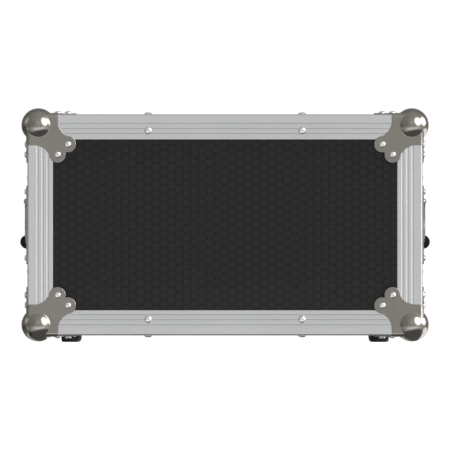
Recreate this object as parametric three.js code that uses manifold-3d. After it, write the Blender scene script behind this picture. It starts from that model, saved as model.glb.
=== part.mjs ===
// A six-unit 19 inch rack case: a plywood box in aluminium edging, open at the front and the back,
// with a removable lid on each opening, ball corners, rubber feet, drop handles and butterfly latches.
// Millimetres, +Z up. The origin is on the floor under the middle of the case. -Y is the front.
import * as THREE from "three";
import { mergeVertices } from "three/addons/utils/BufferGeometryUtils.js";
import Module from "manifold-3d";

// ---------- driving dimensions ----------
const W = 518; // width over the edging
const H = 289.9; // height over the edging
const D = 500; // depth over the edging, both lids on
const LID = 70; // depth of a lid, front plane to joint plane
const FOOT_DROP = 9.2; // edging's underside above the floor
const BOARD = 9.5; // plywood with its laminate
const EX_T = 1.5; // edging's outer leg
const LEG = 33.6; // width of an edging leg
const GAP = 0.1; // between a board and the leg it lies against
const INNER_T = 1.3; // edging's inner leg
const WEB = 12.7; // edging's closed square, outside to outside
const INNER_LEG = 27;
const CUTBACK = 15; // edging stops this far from a ball corner's three planes
const MITRE = 0.2; // half gap at a mitre
const RIM = 25; // width of a joint rim's outer leg
const JOINT = 0.15; // half gap between lid and body at the joint plane
const TONGUE = 5; // height of the body's tongue

const BALL_R = 22; // ball corner, outside
const BALL_IN = 20.5; // ball corner, inside
const BALL_C = 14.05; // ball centre behind each outer plane
const PLATE_T = 1.6; // ball corner's plate
const ARM = 40.5; // plate arm's end from the corner
const ARM_W = 12;
const LOBE_A = 52.9; // rivet lobes, from the corner
const LOBE_B = 39.4;
const LOBE_R = 11;

const HALF_TRAY = 51.7; // half height of latch and handle flanges
const HALF_RECESS = 38; // half height of their recesses
const LATCH_FLOOR = 9.6; // depth of the latch recess
const HUB_S = 28; // latch hub from the joint plane
const ECC = 4; // eccentric's throw
const HANDLE_UP = 30.8; // handle pivot above mid-height
const HANDLE_DOWN = 22.5; // grip below mid-height
const HANDLE_OUT = 2.3; // pivot and grip outside the edging's plane
const ROD_R = 3;
const GRIP_R = 9.2;
const ARM_Y = 52; // handle arm from the handle's middle

const U = 44.45;
const UNITS = 6;
const RAIL_HOLE_X = 232.55; // rack holes from the middle
const RAIL_T = 2;

const X1 = W / 2,
  Y1 = D / 2,
  Z0 = FOOT_DROP,
  Z1 = FOOT_DROP + H,
  ZC = (Z0 + Z1) / 2,
  YJ = Y1 - LID; // joint planes at y = +-YJ

// ---------- solids ----------
const wasm = await Module();
wasm.setup();

function solid(geometry) {
  const g = geometry.index ? geometry.toNonIndexed() : geometry.clone();
  const only = new THREE.BufferGeometry().setAttribute("position", g.getAttribute("position"));
  const m = mergeVertices(only, 1e-4);
  return new wasm.Manifold(
    new wasm.Mesh({ numProp: 3, vertProperties: m.attributes.position.array, triVerts: new Uint32Array(m.index.array) }),
  );
}

function geometryOf(made) {
  const m = made.getMesh();
  const v = new Float32Array(m.numVert * 3);
  for (let i = 0; i < m.numVert; i++) v.set(m.vertProperties.subarray(i * m.numProp, i * m.numProp + 3), i * 3);
  const g = new THREE.BufferGeometry().setAttribute("position", new THREE.BufferAttribute(v, 3));
  g.setIndex(new THREE.BufferAttribute(new Uint32Array(m.triVerts), 1));
  g.computeVertexNormals();
  return g;
}

function box(x0, x1, y0, y1, z0, z1) {
  const [a, b] = [Math.min(x0, x1), Math.max(x0, x1)];
  const [c, d] = [Math.min(y0, y1), Math.max(y0, y1)];
  const [e, f] = [Math.min(z0, z1), Math.max(z0, z1)];
  return solid(new THREE.BoxGeometry(b - a, d - c, f - e).translate((a + b) / 2, (c + d) / 2, (e + f) / 2));
}

const union = (...parts) => parts.reduce((a, b) => a.add(b));
const cut = (from, ...tools) => tools.reduce((a, b) => a.subtract(b), from);

// Cylinder along an axis: "x", "y" or "z".
function rod(axis, r, from, to, a, b, sides = 16, turn = 0) {
  const g = new THREE.CylinderGeometry(r, r, Math.abs(to - from), sides, 1);
  g.rotateY(turn);
  const mid = (from + to) / 2;
  if (axis === "x") g.rotateZ(-Math.PI / 2).translate(mid, a, b);
  if (axis === "y") g.translate(a, mid, b);
  if (axis === "z") g.rotateX(Math.PI / 2).translate(a, b, mid);
  return solid(g);
}

// A flat outline in two axes, thickened along the third.
function slab(points, axis, from, to) {
  const shape = new THREE.Shape(points.map(([a, b]) => new THREE.Vector2(a, b)));
  const g = new THREE.ExtrudeGeometry(shape, { depth: to - from, bevelEnabled: false, curveSegments: 6 });
  g.translate(0, 0, from);
  const m = new THREE.Matrix4();
  // columns: where local x, y and z go
  if (axis === "x") m.set(0, 0, 1, 0, 1, 0, 0, 0, 0, 1, 0, 0, 0, 0, 0, 1); // (a, b, n) -> (n, a, b)
  if (axis === "y") m.set(0, 1, 0, 0, 0, 0, 1, 0, 1, 0, 0, 0, 0, 0, 0, 1); // (a, b, n) -> (b, n, a)
  g.applyMatrix4(m);
  return solid(g);
}

// A rectangular ring round the case: n0..n1 deep behind the outer planes, y0..y1 along the case.
function ring(n0, n1, y0, y1) {
  return cut(
    box(-X1 + n0, X1 - n0, y0, y1, Z0 + n0, Z1 - n0),
    box(-X1 + n1, X1 - n1, Math.min(y0, y1) - 1, Math.max(y0, y1) + 1, Z0 + n1, Z1 - n1),
  );
}

// ---------- materials ----------
const metal = (color, roughness, metalness = 1) => new THREE.MeshStandardMaterial({ color, roughness, metalness });
const ALUMINIUM = () => metal(0xbbbdbc, 0.42);
const NICKEL = () => metal(0x8a857e, 0.28);
const ZINC = () => metal(0x9a9a98, 0.35);
const BLACK_STEEL = () => metal(0x2a2a2a, 0.5, 0.6);
const LAMINATE = () => metal(0x2d2d2d, 0.6, 0);
const RUBBER = () => metal(0x141414, 0.75, 0);

const root = new THREE.Group();
function piece(parent, name, made, material) {
  const mesh = new THREE.Mesh(geometryOf(made), material);
  mesh.name = name;
  parent.add(mesh);
  return mesh;
}

// ---------- edging ----------
// Double-angle edging: outer angle, closed square at the corner and inner angle, with the board's
// channel between the legs.
function edging(axis, from, to, pa, pb, sa, sb) {
  // pa, pb: the two outer planes; sa, sb: +1 or -1, the way inwards from them.
  const part = (a0, a1, b0, b1) => {
    const A = [pa + sa * a0, pa + sa * a1],
      B = [pb + sb * b0, pb + sb * b1];
    if (axis === "x") return box(from, to, A[0], A[1], B[0], B[1]); // a is y, b is z
    if (axis === "y") return box(A[0], A[1], from, to, B[0], B[1]); // a is x, b is z
    return box(A[0], A[1], B[0], B[1], from, to); // a is x, b is y
  };
  const q = WEB,
    s = WEB - INNER_T;
  return cut(
    union(
      part(0, LEG, 0, EX_T),
      part(0, EX_T, 0, LEG),
      part(0, q, 0, q),
      part(s, q, s, INNER_LEG),
      part(s, INNER_LEG, s, q),
    ),
    part(EX_T, s, EX_T, s),
  );
}
// The plain outer angle only, for the short edges of a lid.
function angle(from, to, px, pz, sx, sz) {
  return union(
    box(px, px + sx * LEG, from, to, pz, pz + sz * EX_T),
    box(px, px + sx * EX_T, from, to, pz, pz + sz * LEG),
  );
}

// Cuts a piece back at the case corner (cx, cy, cz) to where its own axis is the longest of the three
// distances from the corner's planes: a three-way mitre.
function mitre(made, own, corner, inward) {
  const axes = ["x", "y", "z"];
  let done = made;
  const k = axes.indexOf(own);
  axes.forEach((_, j) => {
    if (j === k) return;
    const n = new THREE.Vector3();
    n.setComponent(j, inward[j]);
    n.setComponent(k, -inward[k]);
    n.normalize();
    const size = 130;
    const g = new THREE.BoxGeometry(size, size, size).translate(0, 0, size / 2);
    g.applyQuaternion(new THREE.Quaternion().setFromUnitVectors(new THREE.Vector3(0, 0, 1), n));
    const at = new THREE.Vector3(...corner);
    at.setComponent(k, at.getComponent(k) + inward[k] * MITRE);
    g.translate(at.x, at.y, at.z);
    done = done.subtract(solid(g));
  });
  return done;
}

const corners = (sx, sy, sz) => [sx * X1, sy * Y1, sz > 0 ? Z1 : Z0];
const inwards = (sx, sy, sz) => [-sx, -sy, -sz];

// Horizontal edging of a lid's face: sy -1 front or +1 rear, sz -1 bottom or +1 top.
function faceEdgeX(sy, sz) {
  let e = edging("x", -X1 + CUTBACK, X1 - CUTBACK, sy * Y1, sz > 0 ? Z1 : Z0, -sy, -sz);
  for (const sx of [-1, 1]) e = mitre(e, "x", corners(sx, sy, sz), inwards(sx, sy, sz));
  return e;
}
function faceEdgeZ(sx, sy) {
  let e = edging("z", Z0 + CUTBACK, Z1 - CUTBACK, sx * X1, sy * Y1, -sx, -sy);
  for (const sz of [-1, 1]) e = mitre(e, "z", corners(sx, sy, sz), inwards(sx, sy, sz));
  return e;
}
// The four short angles of a lid, from the ball corners to the rim.
function shortAngles(sy) {
  const made = [];
  for (const sx of [-1, 1])
    for (const sz of [-1, 1]) {
      const a = angle(sy * (Y1 - CUTBACK), sy * (Y1 - LID + RIM - 0.6), sx * X1, sz > 0 ? Z1 : Z0, -sx, -sz);
      made.push(mitre(a, "y", corners(sx, sy, sz), inwards(sx, sy, sz)));
    }
  return made;
}

// Everything the latches need cut away at the joint, left and right, at mid-height.
function latchCuts(sy, from, to, depth) {
  const h = HALF_RECESS + 0.4;
  return [-1, 1].map((sx) =>
    box(sx * (X1 + 2), sx * (X1 - depth), sy * (YJ + from), sy * (YJ + to), ZC - h, ZC + h),
  );
}

// Rim of a lid: a channel over the board's edge with the groove for the body's tongue.
function lidRim(sy) {
  const y = (s) => sy * (YJ + s);
  const whole = cut(
    union(
      ring(0, EX_T, y(JOINT), y(RIM)),
      ring(0, 12.6, y(JOINT), y(7.4)),
      ring(11.3, 12.6, y(JOINT), y(20)),
    ),
    ring(3.8, 8.8, y(-1), y(6)),
  );
  return cut(whole, ...latchCuts(sy, -2, RIM + 2, 11.2));
}
// Rim of the body: the same channel with the tongue.
function bodyRim(sy) {
  const y = (s) => sy * (YJ - s);
  const whole = union(
    ring(0, EX_T, y(JOINT), y(RIM)),
    ring(0, 12.6, y(JOINT), y(1.75)),
    ring(11.3, 12.6, y(JOINT), y(14)),
    ring(4.3, 8.3, y(-TONGUE), y(1)),
  );
  return cut(whole, ...latchCuts(sy, -(RIM + 2), TONGUE + 2, 11.2));
}
// Walls of a lid: a glued ring of board.
function lidWalls(sy) {
  const y = (s) => sy * (YJ + s);
  const n0 = EX_T + GAP,
    n1 = n0 + BOARD;
  return cut(ring(n0, n1, y(7.7), y(LID - WEB - 0.3)), ...latchCuts(sy, 0, 36.4, n1 + 0.2));
}
// Face board of a lid.
function lidPanel(sy) {
  const m = WEB + 0.3;
  return box(-X1 + m, X1 - m, sy * (Y1 - EX_T - GAP), sy * (Y1 - EX_T - GAP - BOARD), Z0 + m, Z1 - m);
}

// ---------- ball corner ----------
// Outline of one plate, from the corner: two arms and two rivet lobes.
function plateOutline(edge) {
  const p = [[edge, edge]];
  const arc = (cx, cy, r, a0, a1, n) => {
    for (let i = 0; i <= n; i++) {
      const a = ((a0 + ((a1 - a0) * i) / n) * Math.PI) / 180;
      p.push([cx + r * Math.cos(a), cy + r * Math.sin(a)]);
    }
  };
  p.push([ARM, edge], [ARM, ARM_W]);
  p.push([42.6, 18.8], [46.2, 24.3]);
  arc(LOBE_A, LOBE_B, LOBE_R, -100, 100, 4);
  arc(LOBE_B, LOBE_A, LOBE_R, -10, 190, 4);
  p.push([24.3, 46.2], [18.8, 42.6], [ARM_W, ARM], [edge, ARM]);
  return p;
}
function ballCorner() {
  // The corner's planes are x, y, z = 0 and the case is on the positive side.
  const t = PLATE_T,
    g = 0.1; // plates lie this far off the edging
  const o = plateOutline(-t - g);
  const plates = union(
    slab(o, "x", -t - g, -g),
    slab(o, "y", -t - g, -g),
    (() => {
      const shape = new THREE.Shape(o.map(([a, b]) => new THREE.Vector2(a, b)));
      return solid(new THREE.ExtrudeGeometry(shape, { depth: t, bevelEnabled: false }).translate(0, 0, -t - g));
    })(),
  );
  // where the three plates would meet in a point, there is only the ball
  const point = box(-3, BALL_C, -3, BALL_C, -3, BALL_C);
  const ball = solid(new THREE.SphereGeometry(BALL_R, 10, 8).translate(BALL_C, BALL_C, BALL_C));
  const hollow = solid(new THREE.SphereGeometry(BALL_IN - 1.5, 6, 4).translate(BALL_C, BALL_C, BALL_C));
  // the case fills the inside up to the plates, but not the ball's tip
  const inside = cut(box(-g, 80, -g, 80, -g, 80), box(-3, 9, -3, 9, -3, 9));
  return cut(union(cut(plates, point), cut(ball, inside)), hollow);
}

// ---------- latch ----------
// Local frame: +x outwards from the case's side with 0 at the edging's outer plane, y the distance from
// the joint plane with the body on the positive side, z up from mid-height.
function flangeTray(s0, s1, r0, r1, openAt, floor) {
  // s0..s1 flange, r0..r1 recess; openAt is the end without a wall
  const h = HALF_TRAY,
    k = HALF_RECESS,
    t = 1.4,
    top = 1.8;
  const flange = box(0.2, top, s0, s1, -h, h);
  const lipEnd = s1;
  const inwardEnd = s1 - t;
  const block = box(-floor - 1.2, top, r0, r1, -k, k);
  const e = openAt;
  const hollow = box(-floor, top + 1, e === "low" ? r0 - 1 : r0 + t, e === "high" ? r1 + 1 : r1 - t, -k + t, k - t);
  let made = union(flange, block);
  if (s1 > 0) {
    // the flange's rim turns down to the board where no edging lies under it
    made = union(
      made,
      box(-1.4, 1, inwardEnd, lipEnd, -h, h),
      box(-1.4, 1, RIM + 0.4, lipEnd, h - t, h),
      box(-1.4, 1, RIM + 0.4, lipEnd, -h, -h + t),
    );
  }
  return cut(made, hollow);
}
function latch(name) {
  const g = new THREE.Group();
  const tray = flangeTray(0.25, 66, 0.25, 56, "low", LATCH_FLOOR);
  piece(g, name + "_tray", tray, ZINC());
  const keeper = union(
    flangeTray(-46, -0.25, -35.5, -0.25, "high", LATCH_FLOOR),
    box(-LATCH_FLOOR - 0.4, -7.7, -13, -10, -15, 15),
  );
  piece(g, name + "_keeper", keeper, ZINC());
  // hook plate with its turned-down lip and the cross slot for the eccentric
  const hook = cut(
    union(
      slab(
        [
          [-17.5, -11],
          [-14, -14],
          [44, -14],
          [44, 14],
          [-14, 14],
          [-17.5, 11],
        ],
        "x",
        -5.2,
        -3.4,
      ),
      box(-7.4, -4, -17.5, -15.7, -11, 11),
    ),
    box(-6, -2, HUB_S + ECC - 6.4, HUB_S + ECC + 6.4, -10, 10),
  );
  piece(g, name + "_hook", hook, ZINC());
  // hub: eccentric, boss, two ears and the pin between them
  const hub = union(
    rod("x", 5, -9.2, -2, HUB_S + ECC, 0, 14),
    rod("x", 8.5, -3, 0.1, HUB_S, 0, 18),
    box(-1, 2.2, HUB_S - 1.8, HUB_S + 1.8, 4.5, 6.5),
    box(-1, 2.2, HUB_S - 1.8, HUB_S + 1.8, -6.5, -4.5),
    rod("z", 1.8, 4.5, 6.5, 2.2, HUB_S, 12),
    rod("z", 1.8, -6.5, -4.5, 2.2, HUB_S, 12),
    rod("z", 0.9, -5.5, 5.5, 2.2, HUB_S, 8),
  );
  piece(g, name + "_hub", hub, ZINC());
  // wing: knuckle on the pin and the two-lobed plate
  const wingPlate = slab(
    [
      [HUB_S, -4.2],
      [HUB_S + 2.6, -4.2],
      [HUB_S + 2.6, -18],
      [HUB_S + 5.5, -22.4],
      [HUB_S + 11, -23],
      [HUB_S + 17, -20],
      [HUB_S + 20, -12],
      [HUB_S + 17.5, 0],
      [HUB_S + 20, 12],
      [HUB_S + 17, 20],
      [HUB_S + 11, 23],
      [HUB_S + 5.5, 22.4],
      [HUB_S + 2.6, 18],
      [HUB_S + 2.6, 4.2],
      [HUB_S, 4.2],
    ],
    "x",
    2.2,
    4.0,
  );
  const wing = cut(
    union(wingPlate, rod("z", 1.8, -4.2, 4.2, 2.2, HUB_S, 12)),
    rod("z", 1.2, -6, 6, 2.2, HUB_S, 10),
  );
  piece(g, name + "_wing", wing, ZINC());
  return g;
}

// ---------- handle ----------
// A path through listed points, so that each point is one ring of the swept rod.
class Through extends THREE.Curve {
  constructor(points) {
    super();
    this.points = points;
  }
  getPoint(t, target = new THREE.Vector3()) {
    const n = this.points.length - 1;
    const i = Math.min(n - 1, Math.floor(t * n + 1e-9));
    return target.copy(this.points[i]).lerp(this.points[i + 1], Math.min(1, Math.max(0, t * n - i)));
  }
  getPointAt(t, target) {
    return this.getPoint(t, target);
  }
  getSpacedPoints() {
    return this.points.map((p) => p.clone());
  }
  getTangentAt(t) {
    const n = this.points.length - 1,
      i = Math.round(t * n);
    const a = this.points[Math.max(0, i - 1)],
      b = this.points[i],
      c = this.points[Math.min(n, i + 1)];
    const before = b.clone().sub(a),
      after = c.clone().sub(b);
    if (before.length() > 0) before.normalize();
    if (after.length() > 0) after.normalize();
    return before.add(after).normalize();
  }
}
// Local frame: +x outwards with 0 at the edging's outer plane, y along the case, z up from mid-height.
function handle(name) {
  const g = new THREE.Group();
  const floor = 14,
    t = 1.5,
    k = HALF_RECESS;
  const lug = (s) =>
    union(
      box(-floor - 0.5, HANDLE_OUT, s * 56.5, s * 64.5, HANDLE_UP - 4.3, HANDLE_UP + 4.3),
      box(-floor - 0.5, -4.6, s * 56.5, s * 64.5, HANDLE_UP - 4.3, k - 0.5),
      rod("y", 4.4, s * 56.5, s * 64.5, HANDLE_OUT, HANDLE_UP, 14),
    );
  const tray = cut(
    union(
      cut(
        union(box(-1.5, 0, -86, 86, -HALF_TRAY, HALF_TRAY), box(-floor - t, 0, -75, 75, -k, k)),
        box(-floor, 1, -75 + t, 75 - t, -k + t, k - t),
      ),
      lug(1),
      lug(-1),
    ),
    rod("y", 3.4, 50, 70, HANDLE_OUT, HANDLE_UP, 16),
    rod("y", 3.4, -50, -70, HANDLE_OUT, HANDLE_UP, 16),
  );
  piece(g, name + "_tray", tray, ZINC());

  // bail: pivot stub, arm, grip bar, arm, pivot stub
  const pts = [];
  const bend = 6;
  const arcTo = (cy, cz, a0, a1) => {
    for (let i = 0; i <= 4; i++) {
      const a = ((a0 + ((a1 - a0) * i) / 4) * Math.PI) / 180;
      pts.push(new THREE.Vector3(HANDLE_OUT, cy + bend * Math.cos(a), cz + bend * Math.sin(a)));
    }
  };
  pts.push(new THREE.Vector3(HANDLE_OUT, -64, HANDLE_UP));
  pts.push(new THREE.Vector3(HANDLE_OUT, -(ARM_Y + 4.6), HANDLE_UP));
  // from the stub, which runs inwards, down into the arm
  pts.push(new THREE.Vector3(HANDLE_OUT, -(ARM_Y + 2.6), HANDLE_UP - 0.4));
  pts.push(new THREE.Vector3(HANDLE_OUT, -(ARM_Y + 0.9), HANDLE_UP - 1.7));
  pts.push(new THREE.Vector3(HANDLE_OUT, -(ARM_Y + 0.1), HANDLE_UP - 3.8));
  arcTo(-ARM_Y + bend, -HANDLE_DOWN + bend, 180, 270);
  arcTo(ARM_Y - bend, -HANDLE_DOWN + bend, 270, 360);
  pts.push(new THREE.Vector3(HANDLE_OUT, ARM_Y + 0.1, HANDLE_UP - 3.8));
  pts.push(new THREE.Vector3(HANDLE_OUT, ARM_Y + 0.9, HANDLE_UP - 1.7));
  pts.push(new THREE.Vector3(HANDLE_OUT, ARM_Y + 2.6, HANDLE_UP - 0.4));
  pts.push(new THREE.Vector3(HANDLE_OUT, ARM_Y + 4.6, HANDLE_UP));
  pts.push(new THREE.Vector3(HANDLE_OUT, 64, HANDLE_UP));
  const section = new THREE.Shape(
    Array.from({ length: 8 }, (_, i) => {
      const a = (i / 8) * 2 * Math.PI;
      return new THREE.Vector2(ROD_R * Math.cos(a), ROD_R * Math.sin(a));
    }),
  );
  const bail = solid(
    new THREE.ExtrudeGeometry(section, { steps: pts.length - 1, extrudePath: new Through(pts), bevelEnabled: false }),
  );
  piece(g, name + "_bail", bail, ZINC());

  const profile = [
    [3.45, -43.6],
    [8.2, -43.6],
    [GRIP_R, -42],
    [GRIP_R, 42],
    [8.2, 43.6],
    [3.45, 43.6],
    [3.45, -43.6],
  ].map(([r, y]) => new THREE.Vector2(r, y));
  const grip = solid(new THREE.LatheGeometry(profile, 18).translate(HANDLE_OUT, 0, -HANDLE_DOWN));
  piece(g, name + "_grip", grip, RUBBER());
  return g;
}

// ---------- rack rail ----------
// A steel angle with the square holes of a 19 inch rack, three to a unit.
function rackRail(sx) {
  const z0 = Z0 + (H - U * UNITS) / 2;
  const [lo, hi] = [Z0 + WEB + 0.3, Z1 - WEB - 0.3];
  const yf = -YJ + 16;
  const xo = X1 - WEB - 0.3;
  const face = box(sx * (RAIL_HOLE_X - 8.3), sx * xo, yf, yf + RAIL_T, lo, hi);
  const side = box(sx * (xo - RAIL_T), sx * xo, yf, yf + 30, lo, hi);
  // pads that carry the rail on the side board between the edging's inner legs
  const pads = [37, 83.5, H - 83.5, H - 37].map((z) =>
    box(sx * (xo - 1), sx * (X1 - EX_T - GAP - BOARD - 0.1), yf + 8, yf + 24, Z0 + z - 8, Z0 + z + 8),
  );
  const holes = [];
  for (let u = 0; u < UNITS; u++)
    for (const h of [6.35, 22.225, 38.1]) {
      const z = z0 + u * U + h;
      holes.push(box(sx * (RAIL_HOLE_X - 4.7), sx * (RAIL_HOLE_X + 4.7), yf - 1, yf + RAIL_T + 1, z - 4.7, z + 4.7));
    }
  return cut(union(face, side, ...pads), ...holes);
}

// ================= assembly =================
const body = new THREE.Group();
root.add(body);
{
  const n0 = EX_T + GAP,
    n1 = n0 + BOARD,
    m = WEB + 0.3,
    yb = YJ - 2.05;
  piece(body, "body_top_panel", box(-X1 + m, X1 - m, -yb, yb, Z1 - n0, Z1 - n1), LAMINATE());
  piece(body, "body_bottom_panel", box(-X1 + m, X1 - m, -yb, yb, Z0 + n0, Z0 + n1), LAMINATE());
  for (const [side, sx] of [
    ["left", -1],
    ["right", 1],
  ]) {
    const h = HALF_RECESS + 0.4;
    const board = cut(
      box(sx * (X1 - n0), sx * (X1 - n1), -yb, yb, Z0 + m, Z1 - m),
      ...latchCuts(-1, -56.4, 5, n1 + 0.5),
      ...latchCuts(1, -56.4, 5, n1 + 0.5),
      box(sx * X1, sx * (X1 - 20), -75.4, 75.4, ZC - h, ZC + h),
    );
    piece(body, `body_${side}_panel`, board, LAMINATE());
    for (const [up, sz] of [
      ["top", 1],
      ["bottom", -1],
    ]) {
      const ye = YJ - RIM - 0.3;
      piece(
        body,
        `body_edge_${up}_${side}`,
        edging("y", -ye, ye, sx * X1, sz > 0 ? Z1 : Z0, -sx, -sz),
        ALUMINIUM(),
      );
    }
    piece(body, `rack_rail_${side}`, rackRail(sx), BLACK_STEEL());
    for (const [end, sy] of [
      ["front", -1],
      ["rear", 1],
    ]) {
      const top = Z0 + n0 - 0.2;
      const foot = new THREE.LatheGeometry(
        [
          [0, 0],
          [10.6, 0],
          [11.7, 0.5],
          [12.3, 1.7],
          [12.9, top - 1.2],
          [12.9, top],
          [0, top],
        ].map(([r, z]) => new THREE.Vector2(r, z)),
        20,
      );
      foot.rotateX(Math.PI / 2);
      const made = solid(foot);
      const mesh = piece(body, `foot_${end}_${side}`, made, RUBBER());
      mesh.position.set(sx * 203, sy * 128, 0);
    }
    const h2 = handle(`handle_${side}`);
    h2.position.set(sx * X1, 0, ZC);
    h2.scale.x = sx;
    body.add(h2);
  }
  piece(body, "body_front_rim", bodyRim(-1), ALUMINIUM());
  piece(body, "body_rear_rim", bodyRim(1), ALUMINIUM());
}

for (const [end, sy] of [
  ["front", -1],
  ["rear", 1],
]) {
  const lid = new THREE.Group();
  root.add(lid);
  piece(lid, `${end}_lid_panel`, lidPanel(sy), LAMINATE());
  piece(lid, `${end}_lid_walls`, lidWalls(sy), LAMINATE());
  if (end === "front") {
    piece(lid, "front_lid_rim", union(lidRim(sy), ...shortAngles(sy)), ALUMINIUM());
    piece(lid, "front_lid_edge_top", faceEdgeX(sy, 1), ALUMINIUM());
    piece(lid, "front_lid_edge_bottom", faceEdgeX(sy, -1), ALUMINIUM());
    piece(lid, "front_lid_edge_left", faceEdgeZ(-1, sy), ALUMINIUM());
    piece(lid, "front_lid_edge_right", faceEdgeZ(1, sy), ALUMINIUM());
  } else {
    // The rear lid's edging, short angles and rim are one riveted frame: the mitres are closed.
    const faces = union(
      edging("x", -X1 + CUTBACK, X1 - CUTBACK, sy * Y1, Z1, -sy, -1),
      edging("x", -X1 + CUTBACK, X1 - CUTBACK, sy * Y1, Z0, -sy, 1),
      edging("z", Z0 + CUTBACK, Z1 - CUTBACK, -X1, sy * Y1, 1, -sy),
      edging("z", Z0 + CUTBACK, Z1 - CUTBACK, X1, sy * Y1, -1, -sy),
    );
    const sides = [];
    for (const sx of [-1, 1])
      for (const sz of [-1, 1])
        sides.push(angle(sy * (Y1 - CUTBACK), sy * (YJ + RIM - 0.6), sx * X1, sz > 0 ? Z1 : Z0, -sx, -sz));
    // clear of the boards inside the corners
    const walls = ring(EX_T + GAP - 0.05, EX_T + GAP + BOARD + 0.05, sy * (YJ + 7.65), sy * (Y1 - WEB - 0.1));
    const face = box(-X1 + WEB + 0.1, X1 - WEB - 0.1, sy * (Y1 - EX_T), sy * (Y1 - WEB), Z0 + WEB + 0.1, Z1 - WEB - 0.1);
    piece(lid, "rear_lid_frame", cut(union(lidRim(sy), faces, ...sides), walls, face), ALUMINIUM());
  }
  for (const [side, sx] of [
    ["left", -1],
    ["right", 1],
  ]) {
    for (const [up, sz] of [
      ["top", 1],
      ["bottom", -1],
    ]) {
      const mesh = piece(lid, `ball_corner_${end}_${up}_${side}`, ballCorner(), NICKEL());
      mesh.position.set(sx * X1, sy * Y1, sz > 0 ? Z1 : Z0);
      mesh.scale.set(-sx, -sy, -sz);
    }
    const l = latch(`latch_${end}_${side}`);
    l.position.set(sx * X1, sy * YJ, ZC);
    l.scale.set(sx, -sy, 1);
    root.add(l);
  }
}

export default root;
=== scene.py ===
import math
from math import cos, pi, radians, sin, sqrt

import bmesh
import bpy
from mathutils import Matrix, Vector


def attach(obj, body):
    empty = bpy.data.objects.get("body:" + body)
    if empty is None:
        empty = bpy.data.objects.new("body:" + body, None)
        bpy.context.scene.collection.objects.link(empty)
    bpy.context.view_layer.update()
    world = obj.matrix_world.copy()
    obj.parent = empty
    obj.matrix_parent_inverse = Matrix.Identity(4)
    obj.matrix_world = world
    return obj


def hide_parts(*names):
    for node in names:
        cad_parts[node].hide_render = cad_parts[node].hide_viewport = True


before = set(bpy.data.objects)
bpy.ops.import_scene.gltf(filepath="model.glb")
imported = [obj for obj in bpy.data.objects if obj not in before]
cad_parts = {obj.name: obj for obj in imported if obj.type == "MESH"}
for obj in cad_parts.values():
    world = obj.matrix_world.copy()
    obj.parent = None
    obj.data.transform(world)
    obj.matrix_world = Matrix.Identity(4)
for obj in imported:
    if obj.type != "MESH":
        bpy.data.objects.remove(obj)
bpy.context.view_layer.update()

MM = 0.001

# ---------------------------------------------------------------- sizes, in millimetres
W, H, D, LID = 518.0, 289.9, 500.0, 70.0
X1, Y1 = W / 2, D / 2
Z0 = 9.2
Z1 = Z0 + H
ZC = (Z0 + Z1) / 2
YJ = Y1 - LID
LEG = 33.55
FLAT_LEG = 33.25  # the legs that run across the front
ROUND = 2.2
RIM = 25.0
T = 1.5
GROOVES = (13.2, 19.9, 26.5)
FLAT_GROOVES = (12.9, 19.6, 26.2)
RIM_GROOVES = (9.6, 16.3)
HEX = 11.64
FOOT_X = 203.0
UPS = (("top", 1), ("bottom", -1))
SIDES = (("left", -1), ("right", 1))
ENDS = (("front", -1), ("rear", 1))

# ================================================================ the camera
cam_data = bpy.data.cameras.new("camera")
cam_data.sensor_width = 20.0
cam_data.lens = 939.3
cam_data.clip_start = 1.0
cam_data.clip_end = 200.0
cam = bpy.data.objects.new("camera", cam_data)
bpy.context.scene.collection.objects.link(cam)
# the front lid's middle, seen straight on from far off
cam.location = (-0.00006, -27.95, 0.15400)
cam.rotation_euler = (radians(90), 0, 0)
bpy.context.scene.camera = cam


# ================================================================ mesh building
class M:
    """Vertices in millimetres and faces, gathered before an object is made of them."""

    def __init__(self):
        self.v, self.f, self.m = [], [], []

    def add(self, verts, faces, mat=0):
        o = len(self.v)
        self.v += [tuple(p) for p in verts]
        self.f += [[o + i for i in f] for f in faces]
        self.m += [mat] * len(faces)
        return self

    def join(self, other, place=None):
        vs = [place(*p) for p in other.v] if place else other.v
        o = len(self.v)
        self.v += [tuple(p) for p in vs]
        self.f += [[o + i for i in f] for f in other.f]
        self.m += other.m
        return self


def loops(rings, caps=(True, True), closed=False, wrap=False):
    """Rings of equal length joined by quads."""
    n = len(rings[0])
    m = M()
    verts = [p for r in rings for p in r]
    faces = []
    k = len(rings)
    for i in range(k if wrap else k - 1):
        a, b = i * n, ((i + 1) % k) * n
        for j in range(n):
            j2 = (j + 1) % n
            faces.append([a + j, a + j2, b + j2, b + j])
    if not wrap and caps[0]:
        faces.append(list(range(n))[::-1])
    if not wrap and caps[1]:
        faces.append([(k - 1) * n + j for j in range(n)])
    return m.add(verts, faces)


def lathe(profile, n=32):
    """Profile of (radius, height) turned about +Z. Ends on the axis are poles."""
    m = M()
    verts, rings = [], []
    for r, h in profile:
        if r < 1e-6:
            rings.append([len(verts)])
            verts.append((0, 0, h))
        else:
            rings.append(list(range(len(verts), len(verts) + n)))
            verts += [(r * cos(2 * pi * i / n), r * sin(2 * pi * i / n), h) for i in range(n)]
    faces = []
    for a, b in zip(rings, rings[1:]):
        for i in range(n):
            j = (i + 1) % n
            if len(a) == 1 and len(b) == 1:
                continue
            if len(a) == 1:
                faces.append([a[0], b[j], b[i]])
            elif len(b) == 1:
                faces.append([a[i], a[j], b[0]])
            else:
                faces.append([a[i], a[j], b[j], b[i]])
    return m.add(verts, faces)


def ring_lathe(profile, n=32):
    """A closed profile turned about +Z, such as a washer."""
    m = M()
    k = len(profile)
    verts = [(r * cos(2 * pi * i / n), r * sin(2 * pi * i / n), h) for i in range(n) for r, h in profile]
    faces = []
    for i in range(n):
        for j in range(k):
            a, b = i * k, ((i + 1) % n) * k
            faces.append([a + j, b + j, b + (j + 1) % k, a + (j + 1) % k])
    return m.add(verts, faces)


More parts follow.
